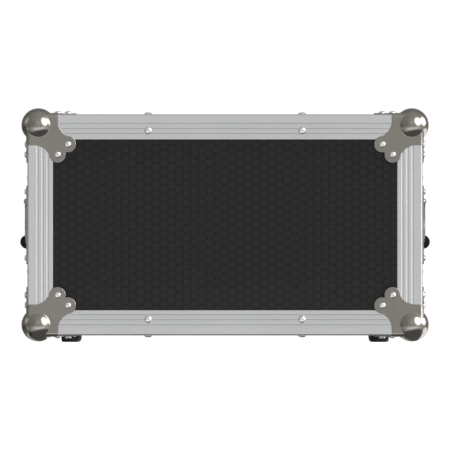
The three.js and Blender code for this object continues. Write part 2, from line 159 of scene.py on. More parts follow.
def prism(outline, h0, h1):
    """A flat outline of (a, b), from height h0 to h1, as (a, b, h)."""
    n = len(outline)
    m = M()
    verts = [(a, b, h0) for a, b in outline] + [(a, b, h1) for a, b in outline]
    faces = [list(range(n))[::-1], list(range(n, 2 * n))]
    faces += [[i, (i + 1) % n, n + (i + 1) % n, n + i] for i in range(n)]
    return m.add(verts, faces)


def arc(cx, cy, r, a0, a1, n):
    return [
        (cx + r * cos(radians(a0 + (a1 - a0) * i / n)), cy + r * sin(radians(a0 + (a1 - a0) * i / n)))
        for i in range(n + 1)
    ]


def rrect(s0, s1, z0, z1, r, n=6):
    r = min(r, (s1 - s0) / 2 - 0.01, (z1 - z0) / 2 - 0.01)
    return (
        arc(s1 - r, z1 - r, r, 0, 90, n)
        + arc(s0 + r, z1 - r, r, 90, 180, n)
        + arc(s0 + r, z0 + r, r, 180, 270, n)
        + arc(s1 - r, z0 + r, r, 270, 360, n)
    )


def tube(path, r, n=16):
    """A round rod along points."""
    pts = [Vector(p) for p in path]
    rings = []
    t0 = (pts[1] - pts[0]).normalized()
    up = Vector((1, 0, 0)) if abs(t0.x) < 0.9 else Vector((0, 1, 0))
    for i, p in enumerate(pts):
        if i == 0:
            t = t0
        elif i == len(pts) - 1:
            t = (pts[-1] - pts[-2]).normalized()
        else:
            t = ((pts[i + 1] - p).normalized() + (p - pts[i - 1]).normalized()).normalized()
        a = (up - t * up.dot(t)).normalized()
        b = t.cross(a)
        up = a
        rings.append([tuple(p + a * (r * cos(2 * pi * k / n)) + b * (r * sin(2 * pi * k / n))) for k in range(n)])
    return loops(rings)


def mesh_of(name, m, mats):
    me = bpy.data.meshes.new(name)
    me.from_pydata([(x * MM, y * MM, z * MM) for x, y, z in m.v], [], m.f)
    for mat in mats:
        me.materials.append(mat)
    if len(mats) > 1:
        me.polygons.foreach_set("material_index", m.m)
    bm = bmesh.new()
    bm.from_mesh(me)
    bmesh.ops.recalc_face_normals(bm, faces=bm.faces)
    bm.to_mesh(me)
    bm.free()
    return me


def shade(me, angle):
    if angle is None:
        return
    me.polygons.foreach_set("use_smooth", [True] * len(me.polygons))
    me.set_sharp_from_angle(angle=radians(angle))


def settle(obj):
    """Leaves the object with its final mesh and no modifier."""
    dg = bpy.context.evaluated_depsgraph_get()
    me = bpy.data.meshes.new_from_object(obj.evaluated_get(dg))
    old = obj.data
    obj.modifiers.clear()
    obj.data = me
    me.name = obj.name
    if old.users == 0:
        bpy.data.meshes.remove(old)


def raw(name, m, mats, smooth=None):
    mats = mats if isinstance(mats, (list, tuple)) else [mats]
    obj = bpy.data.objects.new(name, mesh_of(name, m, mats))
    bpy.context.scene.collection.objects.link(obj)
    shade(obj.data, smooth)
    return obj


def bevelled(obj, width, segments=2, angle=38):
    b = obj.modifiers.new("edge", "BEVEL")
    b.width = width * MM
    b.segments = segments
    b.limit_method = "ANGLE"
    b.angle_limit = radians(angle)
    b.use_clamp_overlap = True
    b.miter_outer = "MITER_ARC"
    b.harden_normals = False
    settle(obj)


def boolean(obj, tool, how):
    b = obj.modifiers.new("cut", "BOOLEAN")
    b.operation = how
    b.object = tool
    b.solver = "EXACT"
    settle(obj)
    bpy.data.objects.remove(tool)


def finish_piece(obj, body, replaces=(), smooth=32):
    shade(obj.data, smooth)
    if smooth:
        w = obj.modifiers.new("flat_faces_stay_flat", "WEIGHTED_NORMAL")
        w.mode = "FACE_AREA"
        w.weight = 50
        w.keep_sharp = True
    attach(obj, body)
    if replaces:
        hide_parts(*replaces)
    return obj


def piece(name, m, mats, body, replaces=(), bevel=None, smooth=32, segments=2, angle=38):
    obj = raw(name, m, mats)
    if bevel:
        bevelled(obj, bevel, segments, angle)
    return finish_piece(obj, body, replaces, smooth)


def cuboid(x0, x1, y0, y1, z0, z1):
    return prism([(x0, y0), (x1, y0), (x1, y1), (x0, y1)], z0, z1)


# ================================================================ materials
class Nodes:
    def __init__(self, name):
        self.mat = bpy.data.materials.new(name)
        self.mat.use_nodes = True
        self.t = self.mat.node_tree
        self.bsdf = self.t.nodes["Principled BSDF"]
        self.coord = self.node("ShaderNodeTexCoord").outputs["Object"]

    def node(self, kind, **values):
        n = self.t.nodes.new(kind)
        for k, v in values.items():
            if hasattr(n, k):
                setattr(n, k, v)
            else:
                n.inputs[k].default_value = v
        return n

    def link(self, a, b):
        self.t.links.new(a, b)

    def scaled(self, sx, sy, sz):
        n = self.node("ShaderNodeMapping")
        n.inputs["Scale"].default_value = (sx, sy, sz)
        self.link(self.coord, n.inputs["Vector"])
        return n.outputs["Vector"]

    def noise(self, vector, scale, detail=3.0, rough=0.5):
        n = self.node("ShaderNodeTexNoise")
        n.inputs["Scale"].default_value = scale
        n.inputs["Detail"].default_value = detail
        n.inputs["Roughness"].default_value = rough
        self.link(vector, n.inputs["Vector"])
        return n.outputs["Fac"]

    def ramp(self, fac, stops):
        n = self.node("ShaderNodeValToRGB")
        e = n.color_ramp.elements
        while len(e) < len(stops):
            e.new(0.5)
        for el, (pos, c) in zip(e, stops):
            el.position = pos
            el.color = (*c, 1) if len(c) == 3 else c
        self.link(fac, n.inputs["Fac"])
        return n.outputs["Color"]

    def span(self, fac, lo, hi, a=0.0, b=1.0):
        n = self.node("ShaderNodeMapRange")
        n.inputs["From Min"].default_value = a
        n.inputs["From Max"].default_value = b
        n.inputs["To Min"].default_value = lo
        n.inputs["To Max"].default_value = hi
        self.link(fac, n.inputs["Value"])
        return n.outputs["Result"]

    def math(self, op, a, b):
        n = self.node("ShaderNodeMath", operation=op)
        for i, v in enumerate((a, b)):
            if isinstance(v, (int, float)):
                n.inputs[i].default_value = v
            else:
                self.link(v, n.inputs[i])
        return n.outputs["Value"]

    def bump(self, height, distance, strength=1.0, before=None):
        n = self.node("ShaderNodeBump")
        n.inputs["Distance"].default_value = distance
        n.inputs["Strength"].default_value = strength
        self.link(height, n.inputs["Height"])
        if before is not None:
            self.link(before, n.inputs["Normal"])
        return n.outputs["Normal"]

    def set(self, **values):
        for k, v in values.items():
            self.bsdf.inputs[k.replace("_", " ")].default_value = v
        return self

    def out(self, **links):
        for k, v in links.items():
            self.link(v, self.bsdf.inputs[k.replace("_", " ")])
        return self.mat


def grey(v, warm=0.0):
    return (v * (1 + warm), v, v * (1 - warm))


def aluminium(name, run):
    """Anodised extrusion with drawing lines along its run: x, y or z."""
    n = Nodes(name).set(Metallic=1.0)
    k = {"x": (3, 260, 260), "y": (260, 3, 260), "z": (260, 260, 3)}[run]
    lines = n.noise(n.scaled(*k), 9.0, 4.0, 0.6)
    cloud = n.noise(n.scaled(1, 1, 1), 14.0, 4.0, 0.6)
    fine = n.noise(n.scaled(1, 1, 1), 1400.0, 2.0, 0.5)
    tone = n.math("ADD", n.math("MULTIPLY", lines, 0.45), n.math("MULTIPLY", cloud, 0.55))
    color = n.ramp(tone, [(0.25, (0.700, 0.716, 0.709)), (0.75, (0.755, 0.771, 0.764))])
    rough = n.span(n.math("ADD", n.math("MULTIPLY", lines, 0.5), n.math("MULTIPLY", cloud, 0.5)), 0.27, 0.35, 0.25, 0.75)
    nrm = n.bump(fine, 0.00002, 0.25, n.bump(lines, 0.00004, 0.3))
    return n.out(Base_Color=color, Roughness=rough, Normal=nrm)


def plated(name, lo, hi, rough_lo, rough_hi, grain=0.12, scale=1.0):
    """Plated pressed steel: cloudy tone, faint handling marks and a fine grain."""
    n = Nodes(name).set(Metallic=1.0)
    cloud = n.noise(n.scaled(1, 1, 1), 22.0 * scale, 5.0, 0.6)
    marks = n.noise(n.scaled(1, 1.6, 0.5), 420.0 * scale, 3.0, 0.7)
    fine = n.noise(n.scaled(1, 1, 1), 1900.0 * scale, 2.0, 0.5)
    color = n.ramp(cloud, [(0.3, lo), (0.7, hi)])
    rough = n.span(n.math("ADD", n.math("MULTIPLY", cloud, 0.6), n.math("MULTIPLY", marks, 0.4)), rough_lo, rough_hi, 0.3, 0.7)
    nrm = n.bump(fine, 0.00002, grain, n.bump(marks, 0.00003, grain * 0.8))
    return n.out(Base_Color=color, Roughness=rough, Normal=nrm)


def laminate(name, lo, hi):
    """Phenolic laminate: fine pebble grain, a little dust and rubbed patches."""
    n = Nodes(name).set(Metallic=0.0)
    n.set(Specular_IOR_Level=0.2)
    cloud = n.noise(n.scaled(1, 1, 1), 16.0, 5.0, 0.65)
    grain = n.node("ShaderNodeTexVoronoi")
    grain.inputs["Scale"].default_value = 1500.0
    n.link(n.coord, grain.inputs["Vector"])
    pebble = n.noise(n.scaled(1, 1, 1), 900.0, 3.0, 0.6)
    specks = n.noise(n.scaled(1, 1, 1), 320.0, 4.0, 0.75)
    color = n.ramp(n.math("ADD", n.math("MULTIPLY", cloud, 0.5), n.math("MULTIPLY", specks, 0.5)), [(0.3, lo), (0.75, hi)])
    rough = n.span(cloud, 0.44, 0.6, 0.3, 0.7)
    nrm = n.bump(pebble, 0.00006, 0.45, n.bump(grain.outputs["Distance"], 0.00005, 0.35))
    return n.out(Base_Color=color, Roughness=rough, Normal=nrm)


def rubbery(name, v, rough, gloss):
    n = Nodes(name).set(Metallic=0.0)
    n.set(Specular_IOR_Level=gloss)
    cloud = n.noise(n.scaled(1, 1, 1), 60.0, 4.0, 0.6)
    grain = n.noise(n.scaled(1, 1, 1), 1100.0, 3.0, 0.6)
    color = n.ramp(cloud, [(0.3, grey(v * 0.85)), (0.75, grey(v * 1.5, 0.02))])
    return n.out(Base_Color=color, Roughness=n.span(cloud, rough - 0.06, rough + 0.08, 0.3, 0.7), Normal=n.bump(grain, 0.00008, 0.4))


def powder(name, v):
    n = Nodes(name).set(Metallic=0.0)
    cloud = n.noise(n.scaled(1, 1, 1), 30.0, 4.0, 0.6)
    peel = n.noise(n.scaled(1, 1, 1), 700.0, 2.0, 0.4)
    color = n.ramp(cloud, [(0.3, grey(v * 0.8)), (0.75, grey(v * 1.25))])
    return n.out(Base_Color=color, Roughness=n.span(cloud, 0.32, 0.45, 0.3, 0.7), Normal=n.bump(peel, 0.0001, 0.35))


ALU = {a: aluminium("aluminium_" + a, a) for a in "xyz"}
NICKEL = plated("nickel", (0.315, 0.295, 0.265), (0.345, 0.325, 0.292), 0.145, 0.19)
ZINC = plated("zinc", (0.315, 0.311, 0.302), (0.435, 0.430, 0.418), 0.19, 0.34, 0.18)
RIVET = plated("rivet_steel", (0.72, 0.72, 0.73), (0.80, 0.80, 0.81), 0.16, 0.26, 0.1, 2.0)
PADS = laminate("laminate_pads", (0.0158, 0.0158, 0.0156), (0.0208, 0.0208, 0.0206))
# a darker copy of the laminate for the grooves: painted shade between the raised hexagons
SEAMS_PAINTED_SHADE = laminate("laminate_seams_painted_shade", (0.0095, 0.0095, 0.0094), (0.0125, 0.0125, 0.0123))
RUBBER = rubbery("rubber", 0.002, 0.22, 0.3)
GRIP = rubbery("grip_rubber", 0.005, 0.42, 0.22)
# a lighter copy of the zinc plating for the latch wings: painted highlight
WING_ZINC_PAINTED_HIGHLIGHT = plated("wing_zinc_painted_highlight", (0.43, 0.427, 0.418), (0.57, 0.565, 0.555), 0.17, 0.29, 0.14)
# a darker copy of the zinc plating for the bail rod: painted shade
ROD_ZINC_PAINTED_SHADE = plated("rod_zinc_painted_shade", (0.155, 0.152, 0.146), (0.22, 0.216, 0.208), 0.18, 0.3, 0.15)
POWDER = powder("powder_coat", 0.018)


def paint(node, mat):
    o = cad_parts[node]
    o.data.materials.clear()
    o.data.materials.append(mat)


# ================================================================ edging
def groove(c, sign):
    """Four points of a shallow groove at distance c, walking with sign."""
    g = [(c - 1.55, 0.0), (c - 0.6, 0.34), (c + 0.6, 0.34), (c + 1.55, 0.0)]
    return g if sign > 0 else g[::-1]


def lip(length):
    """Rounded end of a leg from its face to its end: (along, depth)."""
    return [(length - 1.0, 0.0), (length - 0.5, 0.14), (length - 0.15, 0.5), (length, 1.0)]


def edging_profile(la, lb, ga, gb, full=True, r=ROUND):
    """Cross-section as (a, b): distances behind two outer planes. Leg A lies on a = 0 and is la wide."""
    p = [(T, la)]
    p += [(d, s) for s, d in lip(la)[::-1]]
    for c in sorted(ga, reverse=True):
        p += [(d, s) for s, d in groove(c, -1)]
    p += arc(r, r, r, 180, 270, 8)
    for c in sorted(gb):
        p += [(s, d) for s, d in groove(c, 1)]
    p += lip(lb)
    p += [(lb, T)]
    if full:
        p += [(12.7, T), (12.7, 11.4), (27, 11.4), (27, 12.7), (12.7, 12.7), (12.7, 27), (11.4, 27), (11.4, 12.7), (T, 12.7)]
    else:
        p += [(T, T)]
    return p


def bar(profile, place, end0, end1):
    """profile points placed at two ends: place(a, b, e) with e from end0(a, b) and end1(a, b)."""
    r0 = [place(a, b, end0(a, b)) for a, b in profile]
    r1 = [place(a, b, end1(a, b)) for a, b in profile]
    return loops([r0, r1])


def mitred(a, b):
    return max(15.0, a + 0.1, b + 0.1)


upright = bpy.data.collections.new("upright_edging")


def face_frame(lid, sy):
    body = f"{lid}_lid"
    for up, sz in UPS:
        zp = Z1 if sz > 0 else Z0
        # a: behind the lid's face plane, b: behind the top or bottom plane
        m = bar(
            edging_profile(FLAT_LEG, LEG, FLAT_GROOVES, GROOVES, r=2.6),
            lambda a, b, e: (e, sy * (Y1 - a), zp - sz * b),
            lambda a, b: -X1 + mitred(a, b),
            lambda a, b: X1 - mitred(a, b),
        )
        node = [f"front_lid_edge_{up}"] if lid == "front" else []
        piece(f"{lid}_lid_edging_{up}", m, ALU["x"], body, node, smooth=None)
    for side, sx in SIDES:
        m = bar(
            edging_profile(LEG, LEG, GROOVES, GROOVES),
            lambda a, b, e: (sx * (X1 - b), sy * (Y1 - a), e),
            lambda a, b: Z0 + mitred(a, b),
            lambda a, b: Z1 - mitred(a, b),
        )
        node = [f"front_lid_edge_{side}"] if lid == "front" else []
        upright.objects.link(piece(f"{lid}_lid_edging_{side}", m, ALU["z"], body, node, smooth=None))
    for up, sz in UPS:
        zp = Z1 if sz > 0 else Z0
        for side, sx in SIDES:
            # a: behind the side plane, b: behind the top or bottom plane
            m = bar(
                edging_profile(LEG, LEG, GROOVES, GROOVES, False),
                lambda a, b, e: (sx * (X1 - a), e, zp - sz * b),
                lambda a, b: sy * (Y1 - mitred(a, b)),
                lambda a, b: sy * (YJ + RIM - 0.5),
            )
            piece(f"{lid}_lid_angle_{up}_{side}", m, ALU["y"], body, smooth=None)


def rim_ring(profile, sy, inward):
    """A ring round the case: profile of (n, q), n behind the outer planes and q from the joint plane."""
    rings = []
    for sx, sz in ((-1, -1), (1, -1), (1, 1), (-1, 1)):
        rings.append(
            [(sx * (X1 - n), sy * (YJ + inward * q), (Z0 + n) if sz < 0 else (Z1 - n)) for n, q in profile]
        )
    return loops(rings, wrap=True)


def outer_leg(q1):
    """From the joint plane along the outside to the leg's end, as (n, q)."""
    p = [(0.9, 0.15), (0.45, 0.22), (0.15, 0.5), (0.0, 1.0)]
    for c in RIM_GROOVES:
        p += [(d, s) for s, d in groove(c, 1)]
    p += [(d, s) for s, d in lip(q1)]
    return p + [(T, q1)]


BODY_RIM = outer_leg(RIM) + [
    (T, 1.75), (11.3, 1.75), (11.3, 14), (12.6, 14), (12.6, 0.15), (8.3, 0.15), (8.3, -4.2), (7.6, -5), (5.0, -5), (4.3, -4.2), (4.3, 0.15),
]
LID_RIM = outer_leg(RIM) + [
    (T, 7.4), (11.3, 7.4), (11.3, 20), (12.6, 20), (12.6, 0.15), (9.5, 0.15), (8.8, 0.9), (8.8, 6), (3.8, 6), (3.8, 0.9), (3.1, 0.15),
]


def rim(name, profile, sy, inward, body, node):
    obj = raw(name, rim_ring(profile, sy, inward), ALU["x"])
    # sides run upright, so their drawing lines do too
    obj.data.materials.append(ALU["z"])
    for p in obj.data.polygons:
        c = p.center
        if abs(abs(c.x) / MM - X1) < 13.2 and Z0 + 13 < c.z / MM < Z1 - 13:
            p.material_index = 1
    h = 38.0
    for sx in (-1, 1):
        xs = sorted((sx * (X1 + 4), sx * (X1 - 11.2)))
        ys = sorted((sy * (YJ - 32), sy * (YJ + 32)))
        boolean(obj, raw("tool", cuboid(*xs, *ys, ZC - h, ZC + h), ALU["x"]), "DIFFERENCE")
    finish_piece(obj, body, [node] if node else [], None)


for lid, sy in ENDS:
    face_frame(lid, sy)
    rim(f"{lid}_lid_rim_ring", LID_RIM, sy, 1, f"{lid}_lid", "front_lid_rim" if lid == "front" else "rear_lid_frame")
    rim(f"body_{lid}_rim_ring", BODY_RIM, sy, -1, "case_body", f"body_{lid}_rim")
for up, sz in UPS:
    zp = Z1 if sz > 0 else Z0
    for side, sx in SIDES:
        ye = YJ - RIM - 0.25
        m = bar(
            edging_profile(LEG, LEG, GROOVES, GROOVES),
            lambda a, b, e: (sx * (X1 - a), e, zp - sz * b),
            lambda a, b: -ye,
            lambda a, b: ye,
        )
        piece(f"body_edging_{up}_{side}", m, ALU["y"], "case_body", [f"body_edge_{up}_{side}"], smooth=None)

# ================================================================ laminate relief
def hex_pads(u0, u1, v0, v1, skip=()):
    """Raised flat-topped hexagons as (u, v, height) over a rectangle, except where skip boxes lie."""
    m = M()
    dx = HEX * sqrt(3) / 2
    cu, cv = 0.0, 0.0
    # heights and widths across the flats, from the seam to the flat top
    steps = [(-0.1, 1.5), (0.03, 1.55), (0.14, 2.1), (0.21, 2.9), (0.24, 4.2)]
    for i in range(math.floor((u0 - cu) / dx), math.ceil((u1 - cu) / dx) + 1):
        for j in range(math.floor((v0 - cv) / HEX) - 1, math.ceil((v1 - cv) / HEX) + 2):
            u = cu + i * dx
            v = cv + j * HEX + (HEX / 2 if i % 2 else 0)
            if not (u0 <= u <= u1 and v0 <= v <= v1):
                continue
            if any(a - 6 < u < b + 6 and c - 6 < v < d + 6 for a, b, c, d in skip):
                continue
            rings = []
            for h, less in steps:
                r = (HEX - less) / sqrt(3)
                rings.append([(u + r * cos(k * pi / 3), v + r * sin(k * pi / 3), h) for k in range(6)])
            m.join(loops(rings))
    return m


n0 = T + 0.1
edge = LEG - 3.5


def relief(name, m, place, body):
    out = M().join(m, place)
    piece(name, out, PADS, body, smooth=None)


for lid, sy in ENDS:
    relief(
        f"{lid}_lid_face_relief",
        hex_pads(-X1 + edge, X1 - edge, -H / 2 + edge, H / 2 - edge),
        lambda u, v, h: (u, sy * (Y1 - n0 + h), ZC + v),
        f"{lid}_lid",
    )
    # the strip between the face edging and the joint rim, on the four walls
    s_lo, s_hi = RIM - 2.5, LID - LEG + 2.5
    for up, sz in UPS:
        zp = Z1 if sz > 0 else Z0
        relief(
            f"{lid}_lid_{up}_relief",
            hex_pads(-X1 + edge, X1 - edge, s_lo, s_hi),
            lambda u, v, h: (u, sy * (YJ + v), zp - sz * (n0 - h)),
            f"{lid}_lid",
        )
    for side, sx in SIDES:
        relief(
            f"{lid}_lid_{side}_relief",
            hex_pads(-H / 2 + edge, H / 2 - edge, s_lo, s_hi, [(-44, 44, -10, 80)]),
            lambda u, v, h: (sx * (X1 - n0 + h), sy * (YJ + v), ZC + u),
            f"{lid}_lid",
        )
yb = YJ - RIM + 2.5
for up, sz in UPS:
    zp = Z1 if sz > 0 else Z0
    feet = [(sx * FOOT_X - 9, sx * FOOT_X + 9, sy * 128 - 9, sy * 128 + 9) for sx in (-1, 1) for sy in (-1, 1)] if sz < 0 else []
    relief(
        f"body_{up}_relief",
        hex_pads(-X1 + edge, X1 - edge, -yb, yb, feet),
        lambda u, v, h: (u, v, zp - sz * (n0 - h)),
        "case_body",
    )
for side, sx in SIDES:
    skip = [(-80, 80, -44, 44), (YJ - 60, YJ, -44, 44), (-YJ, -YJ + 60, -44, 44)]
    relief(
        f"body_{side}_relief",
        hex_pads(-yb, yb, -H / 2 + edge, H / 2 - edge, skip),
        lambda u, v, h: (sx * (X1 - n0 + h), u, ZC + v),
        "case_body",
    )
# the panels under the raised hexagons show in the grooves in the darker laminate: painted shade
for node in (
    "body_top_panel", "body_bottom_panel", "body_left_panel", "body_right_panel",
    "front_lid_panel", "front_lid_walls", "rear_lid_panel", "rear_lid_walls",
):
    paint(node, SEAMS_PAINTED_SHADE)

# ================================================================ ball corners
P = 1.7  # plates' outer plane ahead of the edging's
FOLD = 5.0
ARM = 40.5
LOBES = ((52.9, 39.4), (39.4, 52.9))
LOBE_R = 10.8


def plate_outline():
    """Outline in (a, b) from the arm at the a side round the lobes to the arm at the b side."""
    half = [(ARM, FOLD - P), (ARM, 6.5), (ARM, 8.8)]
    half += arc(62.8, 8.8, 22.3, 180, 119, 10)[1:]
    lobe = arc(*LOBES[0], LOBE_R, -92, 108, 21)
    # the lobe stops where the two lobes meet on the diagonal
    lobe = [p for p in lobe if p[0] - p[1] > 0.3]
    half += lobe
    notch = LOBES[0][0] / 2 + LOBES[0][1] / 2 + sqrt(LOBE_R**2 - (LOBES[0][0] - LOBES[0][1]) ** 2 / 2) / sqrt(2)
    return half + [(notch, notch)] + [(b, a) for a, b in half[::-1]]


def corner_plates():
    """The three plates and their folds as one closed shell, outer skin and inner skin."""
    out = plate_outline()
    n = 6

    def skin(depth):
        """depth 0 is the outer skin; the inner one lies depth behind it."""
        verts, faces, key = [], [], {}

        def vert(p):
            k = tuple(round(c, 4) for c in p)
            if k not in key:
                key[k] = len(verts)
                verts.append(p)
            return key[k]

        c = FOLD - P
        r = FOLD - depth
        for axis in range(3):
            poly = [(c, c)] + out
            ids = []
            for a, b in poly:
                q = [0, 0, 0]
                q[axis] = -P + depth
                q[(axis + 1) % 3] = a
                q[(axis + 2) % 3] = b
                ids.append(vert(tuple(q)))
            faces.append(ids)
        for run in range(3):
            u, w = (run + 1) % 3, (run + 2) % 3
            rows = []
            for i in range(n + 1):
                t = pi / 2 * i / n
                row = []
                for e in (c, ARM):
                    q = [0, 0, 0]
                    q[run] = e
                    q[u] = c - r * cos(t)
                    q[w] = c - r * sin(t)
                    row.append(vert(tuple(q)))
                rows.append(row)
            for a, b in zip(rows, rows[1:]):
                faces.append([a[0], a[1], b[1], b[0]])
        # the eighth of a sphere where the folds meet
        grid = []
        for i in range(n + 1):
            t = pi / 2 * i / n
            row = []
            for j in range(n + 1):
                s = pi / 2 * j / n
                d = (cos(s) * cos(t), cos(s) * sin(t), sin(s))
                row.append(vert(tuple(c - r * v for v in d)))
            grid.append(row)
        for i in range(n):
            for j in range(n):
                ids = [grid[i][j], grid[i + 1][j], grid[i + 1][j + 1], grid[i][j + 1]]
                keep = []
                for k in ids:
                    if k not in keep:
                        keep.append(k)
                if len(keep) > 2:
                    faces.append(keep)
        return verts, faces

    vo, fo = skin(0.0)
    vi, fi = skin(1.6)
    m = M()
    m.add(vo, fo)
    off = len(vo)
    m.add(vi, [f[::-1] for f in fi])
    # walls between the skins along the open boundary
    count = {}
    for f in fo:
        for a, b in zip(f, f[1:] + f[:1]):
            count[frozenset((a, b))] = count.get(frozenset((a, b)), 0) + 1
    inner_of = {}
    assert len(vo) == len(vi)
    walls = []
    for f in fo:
        for a, b in zip(f, f[1:] + f[:1]):
            if count[frozenset((a, b))] == 1:
                walls.append([b, a, off + a, off + b])
    m.f += walls
    m.m += [0] * len(walls)
    return m


def uv_sphere(c, r, nu=56, nv=36):
    rings = [[(c[0], c[1], c[2] - r)]]
    m = M()
    prof = [(0.0, -r)] + [(r * sin(pi * i / nv), -r * cos(pi * i / nv)) for i in range(1, nv)] + [(0.0, r)]
    l = lathe(prof, nu)
    return m.join(l, lambda x, y, z: (x + c[0], y + c[1], z + c[2]))


def rivet(r, h, dimple=True, n=24):
    """A domed head standing on height 0."""
    prof = [(0.0, -0.3), (r, -0.3), (r, 0.25)]
    k = 6
    rd = r * 0.30 if dimple else 0.0
    for i in range(1, k + 1):
        t = pi / 2 * i / (k + (0 if dimple else 0))
        rr = rd + (r - rd) * cos(t)
        prof.append((max(rr, 1e-9 if not dimple else rd), 0.25 + (h - 0.25) * sin(t)))
    if dimple:
        prof += [(rd * 0.82, h - 0.12), (rd * 0.78, h - 0.75), (rd * 0.35, h - 0.62), (0.0, h - 0.58)]
    else:
        prof[-1] = (0.0, h)
    return lathe(prof, n)


BALL_C, BALL_R = 14.15, 22.15


def fillets():
    """Round each plate's circle with the ball: a thin ring that blends the two, thinning out at the folds."""
    m = M()
    deep = BALL_C + P
    for axis in range(3):
        rings = []
        n = 60
        for i in range(n + 1):
            th = -52 + 194 * i / n
            edge_ = min(th + 52, 142 - th) / 34
            rho = 0.25 + 1.75 * min(1.0, edge_) ** 2
            rc = sqrt((BALL_R + rho) ** 2 - (deep + rho) ** 2)
            low = math.degrees(math.atan2(deep + rho, rc))
            pts = []
            for k in range(7):
                # from the tangent point on the ball to the one on the plate
                a = radians(180 + low + (90 - low) * k / 6)
                pts.append((rc + rho * cos(a), rho + rho * sin(a)))
            pts += [(rc, -0.4), (rc - rho - 0.6, -0.4)]
            ring = []
            for r_, h_ in pts:
                q = [0, 0, 0]
                q[axis] = -P - h_
                q[(axis + 1) % 3] = BALL_C + r_ * cos(radians(th))
                q[(axis + 2) % 3] = BALL_C + r_ * sin(radians(th))
                ring.append(tuple(q))
            rings.append(ring)
        m.join(loops(rings))
    return m


def build_corner():
    # raw() takes the mesh in the corner's own frame; it is placed eight times afterwards
    plates = raw("corner_base", corner_plates(), NICKEL)
    bevelled(plates, 0.7, 3, 50)
    boolean(plates, raw("tool", cuboid(-6, BALL_C, -6, BALL_C, -6, BALL_C), NICKEL), "DIFFERENCE")
    ball = raw("corner_ball", uv_sphere((BALL_C, BALL_C, BALL_C), BALL_R), NICKEL)
    # the case's corner fills it up to the plates, but not the ball's tip
    case = raw("case_corner", cuboid(-0.1, 90, -0.1, 90, -0.1, 90), NICKEL)
    boolean(case, raw("tool", cuboid(-5, 12, -5, 12, -5, 12), NICKEL), "DIFFERENCE")
    boolean(ball, case, "DIFFERENCE")
    boolean(plates, ball, "UNION")
    me = plates.data
    verts = [tuple(v.co / MM) for v in me.vertices]
    faces = [list(p.vertices) for p in me.polygons]
    # the axis that a flat outer face is square to, None for the rest
    square = [next((a for a in range(3) if all(abs(verts[i][a] + P) < 0.005 for i in f)), None) for f in faces]

    def part(axes):
        used = {}
        kept = [[used.setdefault(i, len(used)) for i in f] for f, a in zip(faces, square) if a in axes]
        return M().add([verts[i] for i in used], kept)

    bpy.data.objects.remove(plates)
    round_ = fillets()
    return {
        "front": (part((None, 1)).join(round_), part((0, 2))),
        "rear": (part((None,)).join(round_), part((0, 1, 2))),
    }


# the flat faces, apart from the front ones, are a mesh of their own, to keep the highlights of the balls off them
corners = build_corner()
head = rivet(4.4, 2.45)
mirror_like = bpy.data.collections.new("bright_hardware")
side_hardware = bpy.data.collections.new("latch_and_handle_hardware")
for end, sy in ENDS:
    for up, sz in UPS:
        zp = Z1 if sz > 0 else Z0
        for side, sx in SIDES:
            place = lambda x, y, z: (sx * (X1 - x), sy * (Y1 - y), zp - sz * z)
            name = f"{end}_{up}_{side}"
            c = piece(
                f"corner_{name}", M().join(corners[end][0], place), NICKEL, f"{end}_lid",
                [f"ball_corner_{name}"], smooth=30,
            )
            mirror_like.objects.link(c)
            piece(f"corner_flats_{name}", M().join(corners[end][1], place), NICKEL, f"{end}_lid")
            heads = M()
            for a, b in LOBES:
                heads.join(head, lambda u, v, h: place(-P - h, a + u, b + v))
                heads.join(head, lambda u, v, h: place(a + u, -P - h, b + v))
                heads.join(head, lambda u, v, h: place(a + u, b + v, -P - h))
            c = piece(f"corner_rivets_{name}", heads, RIVET, f"{end}_lid", smooth=40)
            mirror_like.objects.link(c)

# ================================================================ edging rivets
big = rivet(4.95, 2.5)
for end, sy in ENDS:
    m, flat = M(), M()
    for sx in (-1, 1):
        for sz in (-1, 1):
            zp = Z1 if sz > 0 else Z0
            x = sx * 100.9
            m.join(big, lambda u, v, h: (x + u, sy * (Y1 + h), zp - sz * 21.3 + v))
            flat.join(big, lambda u, v, h: (x + u, sy * (Y1 - 17) + v, zp + sz * h))
            flat.join(big, lambda u, v, h: (x + u, sy * (YJ + 13) + v, zp + sz * h))
    mirror_like.objects.link(piece(f"{end}_lid_face_rivets", m, RIVET, f"{end}_lid", smooth=40))
    piece(f"{end}_lid_rivets", flat, RIVET, f"{end}_lid", smooth=40)
m = M()
for sz in (-1, 1):
    zp = Z1 if sz > 0 else Z0
    for sy in (-1, 1):
        for x in (-223, -100.9, 100.9, 223):
            m.join(big, lambda u, v, h: (x + u, sy * (YJ - 13) + v, zp + sz * h))
        for sx in (-1, 1):
            m.join(big, lambda u, v, h: (sx * (X1 - 19.9) + u, sy * 62 + v, zp + sz * h))
piece("body_rivets", m, RIVET, "case_body", smooth=40)


# ================================================================ latches
def dish(s0, s1, hz, r0, r1, rz, top, floor, corner_r, recess_r):
    """A pressed dish's visible skin as (x outwards, s, z): flange, rolled rim, drafted wall and floor."""
    rings = [(rrect(s0, s1, -hz, hz, corner_r, 8), top - 3.3)]
    rings.append((rrect(s0, s1, -hz, hz, corner_r, 8), top - 0.55))
    rings.append((rrect(s0 + 0.16, s1 - 0.16, -hz + 0.16, hz - 0.16, corner_r, 8), top - 0.16))
    rings.append((rrect(s0 + 0.55, s1 - 0.55, -hz + 0.55, hz - 0.55, corner_r - 0.4, 8), top))
    rf, rb = 1.6, 2.4
    for i in range(5):
        t = pi / 2 * i / 4
        o = rf * (1 - sin(t))
        rings.append((rrect(r0 - o, r1 + o, -rz - o, rz + o, recess_r + o, 8), top - rf * (1 - cos(t))))
    draft = 0.8
    for i in range(5):
        t = pi / 2 * i / 4
        o = draft + rb * (1 - cos(t))
        rings.append((rrect(r0 + o, r1 - o, -rz + o, rz - o, max(recess_r - o, 1.2), 8), floor + rb * (1 - sin(t))))
    return rings


def sheet_from(rings):
    return loops([[(x, s, z) for s, z in pts] for pts, x in rings], caps=(False, True))


